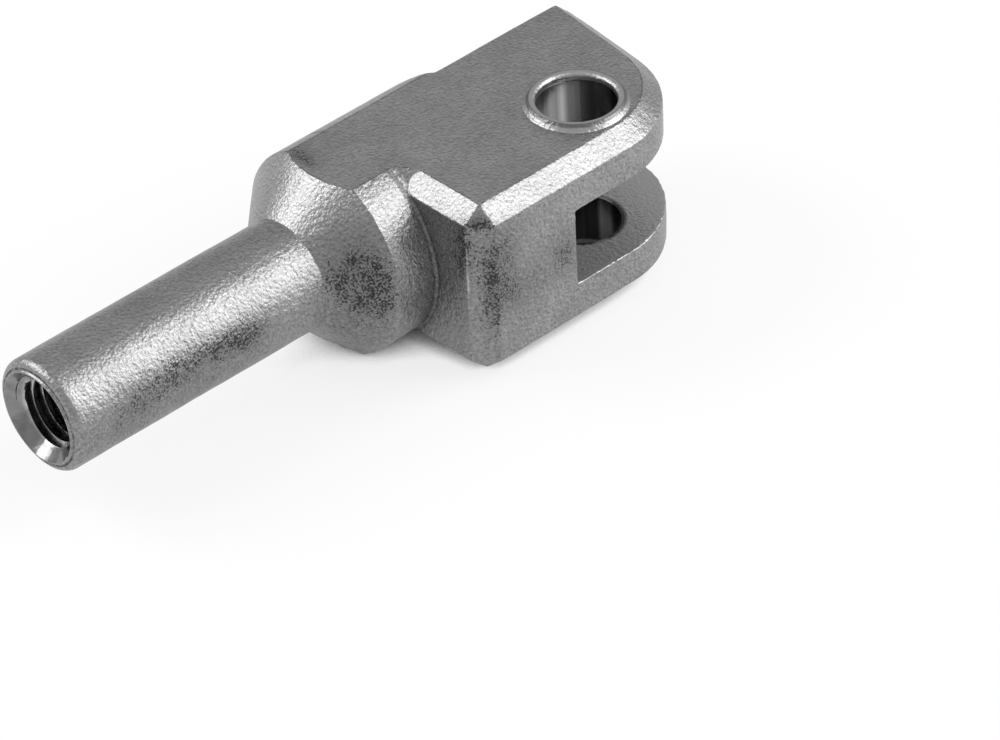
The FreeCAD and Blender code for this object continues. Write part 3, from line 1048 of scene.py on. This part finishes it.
def machined_walls(tree, place, shader):
    """Streaky, smooth and anisotropic inside the bore, plain and rougher outside it, with
    a blend between them by the distance from the pin's axis and from the flats."""
    parts = split(tree, place)
    off_pin = length_of(tree, {"X": parts["X"], "Y": parts["Y"]})
    off_ring = fall(tree, maths(tree, "ABSOLUTE", parts["Z"], 0.0), *RING_LEVEL)
    bored = times(tree, fall(tree, off_pin, *BORE_WALL), off_ring)
    flat_place = joined(tree, {"X": parts["X"], "Y": parts["Y"]})
    patchy = spread(tree, grain(tree, flat_place, PATCH_GRAIN), *PATCH_NOISE, *PATCH_SHARES)
    streaks = times(tree, bore_streaks(tree, parts), patchy)
    # Painted shade: a thin ring at the outer edge of the raised rings round the bore gets a darker grey.
    crease = maths(tree, "SUBTRACT", band(tree, off_pin, *RING_CREASE), off_ring)
    plain = blend(tree, crease, CUT_GREY, CREASE_SHADE_GREY)
    marks = times(tree, grain(tree, place, MARK_GRAIN), blend(tree, bored, CUT_MARKS, BORE_MARKS))
    connect(tree, shader, {
        "Base Color": grey(tree, blend(tree, bored, plain, streaks)),
        "Roughness": blend(tree, bored, CUT_ROUGHNESS, BORE_ROUGHNESS),
        "Anisotropic": blend(tree, bored, CUT_PULL, BORE_PULL),
        "Normal": bumped(tree, marks, MARK_DEPTH),
        "Tangent": joined(tree, {"X": times(tree, parts["Y"], -1.0), "Y": parts["X"]}),
    })


rod_end.data.materials.append(steel("machined_walls", machined_walls))
print("second finish:", rod_end.data.materials[1].name)

# %% [markdown]
# ## The cut thread
#
# The thread is the brightest steel on the part, since a tap cuts it last. The
# countersink before it is darker. That could be a second material, but then its
# border would be a row of triangles. One grey that changes over less than half a
# millimetre gives a soft border.

# %% The cut thread
SMEAR_GRAIN = 1.5
SMEAR_DEPTH = 0.05
THREAD_GREYS = (0.36, 0.5)
THREAD_ROUGHNESS = 0.18
SINK_DARKENING = 0.52
SINK_BORDER = 0.4


def cut_thread(tree, place, shader):
    """A smeared grey, times a darker share up to the end of the countersink."""
    smear = grain(tree, place, SMEAR_GRAIN)
    sink_end = mouth_x + mouth_radius - tap_radius
    border = ((sink_end - SINK_BORDER) * MM, sink_end * MM)
    sink_darkening_share = spread(tree, split(tree, place)["X"], *border, SINK_DARKENING, 1.0)
    level = times(tree, spread(tree, smear, *MOST_NOISE, *THREAD_GREYS), sink_darkening_share)
    connect(tree, shader, {"Base Color": grey(tree, level), "Normal": bumped(tree, smear, SMEAR_DEPTH)})
    shader.inputs["Roughness"].default_value = THREAD_ROUGHNESS


rod_end.data.materials.append(steel("cut_thread", cut_thread))
print("materials:", [material.name for material in rod_end.data.materials])

# %% [markdown]
# ## Floor and light
#
# The part lies on a pale floor. The camera and the metal's reflections see the
# floor as nearly plain white, through Light Path, while the object is lit by
# the floor's own colour. Right under the part, where the floor is boxed in, it
# stays dark, so no light shines up through the bore. Two large soft lamps stand
# where the photograph's bevels mirror them.

# %% The floor's material
FLOOR_GREY = 0.8
FLOOR_WHITE_SHARE = 0.8
MIRROR_WHITE_SHARE = 0.6
BOXED_REACH = 30 * MM
BOXED_IN = (0.06, 0.25)


def neutral(level):
    """A grey as the four numbers of a colour."""
    return (level, level, level, 1)


def pale_floor():
    """A matt grey mixed with plain white, by a share that depends on what looks at it."""
    material = bpy.data.materials.new("pale_floor")
    material.use_nodes = True
    tree = material.node_tree
    tree.nodes.clear()
    matt = add_node(tree, "ShaderNodeBsdfDiffuse", {"Color": neutral(FLOOR_GREY)}).outputs["BSDF"]
    openness = add_node(tree, "ShaderNodeAmbientOcclusion", {"Distance": BOXED_REACH}).outputs["AO"]
    strength = rise(tree, openness, *BOXED_IN)
    white = add_node(tree, "ShaderNodeEmission", {"Strength": strength}).outputs["Emission"]
    path = add_node(tree, "ShaderNodeLightPath").outputs
    mirrored = maths(tree, "MAXIMUM", path["Is Glossy Ray"], path["Is Transmission Ray"])
    seen = times(tree, path["Is Camera Ray"], FLOOR_WHITE_SHARE)
    share = maths(tree, "MAXIMUM", seen, times(tree, mirrored, MIRROR_WHITE_SHARE))
    mixed = add_node(tree, "ShaderNodeMixShader", {0: share, 1: matt, 2: white}).outputs[0]
    add_node(tree, "ShaderNodeOutputMaterial", {"Surface": mixed})
    return material


print("white share to the camera:", FLOOR_WHITE_SHARE, "to the metal:", MIRROR_WHITE_SHARE)

# %% The floor
FLOOR_HALF = 3.0


def make_floor(level):
    """A square sheet at the given level, in metres."""
    round_the_middle = ((-1, -1), (1, -1), (1, 1), (-1, 1))
    corners = [(x * FLOOR_HALF, y * FLOOR_HALF, level) for x, y in round_the_middle]
    mesh = bpy.data.meshes.new("studio_floor")
    mesh.from_pydata(corners, [], [(0, 1, 2, 3)])
    mesh.materials.append(pale_floor())
    floor = bpy.data.objects.new("studio_floor", mesh)
    bpy.context.scene.collection.objects.link(floor)
    return floor


floor_level = all_points[:, 2].min() * MM
make_floor(floor_level)
print("floor at z", round(float(floor_level), 5))

# %% Lamps
LAMP_DISTANCE = 0.7
LAMPS = {
    "right_lamp": {"direction": (0.53, -0.51, 0.44), "width": 0.45, "height": 0.78, "watts": 4.4},
    "left_lamp": {"direction": (-0.52, 0.60, 0.61), "width": 0.45, "height": 0.45, "watts": 2.8},
}
part_middle = mathutils.Vector((part_low + part_high) / 2 * MM)


def soft_lamp(name, direction, width, height, watts):
    """An area lamp at a set distance from the part's middle, which faces it."""
    direction = mathutils.Vector(direction)
    data = bpy.data.lights.new(name, "AREA")
    data.shape = "RECTANGLE"
    data.size = width
    data.size_y = height
    data.energy = watts
    lamp = bpy.data.objects.new(name, data)
    bpy.context.scene.collection.objects.link(lamp)
    spot = part_middle + direction.normalized() * LAMP_DISTANCE
    facing = direction.to_track_quat("Z", "Y").to_matrix().to_4x4()
    lamp.matrix_world = mathutils.Matrix.Translation(spot) @ facing
    return lamp


for name, lamp in LAMPS.items():
    soft_lamp(name, **lamp)

# %% World
WORLD_GREY = 0.63
world = bpy.data.worlds.new("studio")
world.use_nodes = True
world.node_tree.nodes["Background"].inputs["Color"].default_value = neutral(WORLD_GREY)
bpy.context.scene.world = world
bpy.context.scene.view_settings.view_transform = "Standard"
print("grey of the room:", WORLD_GREY)
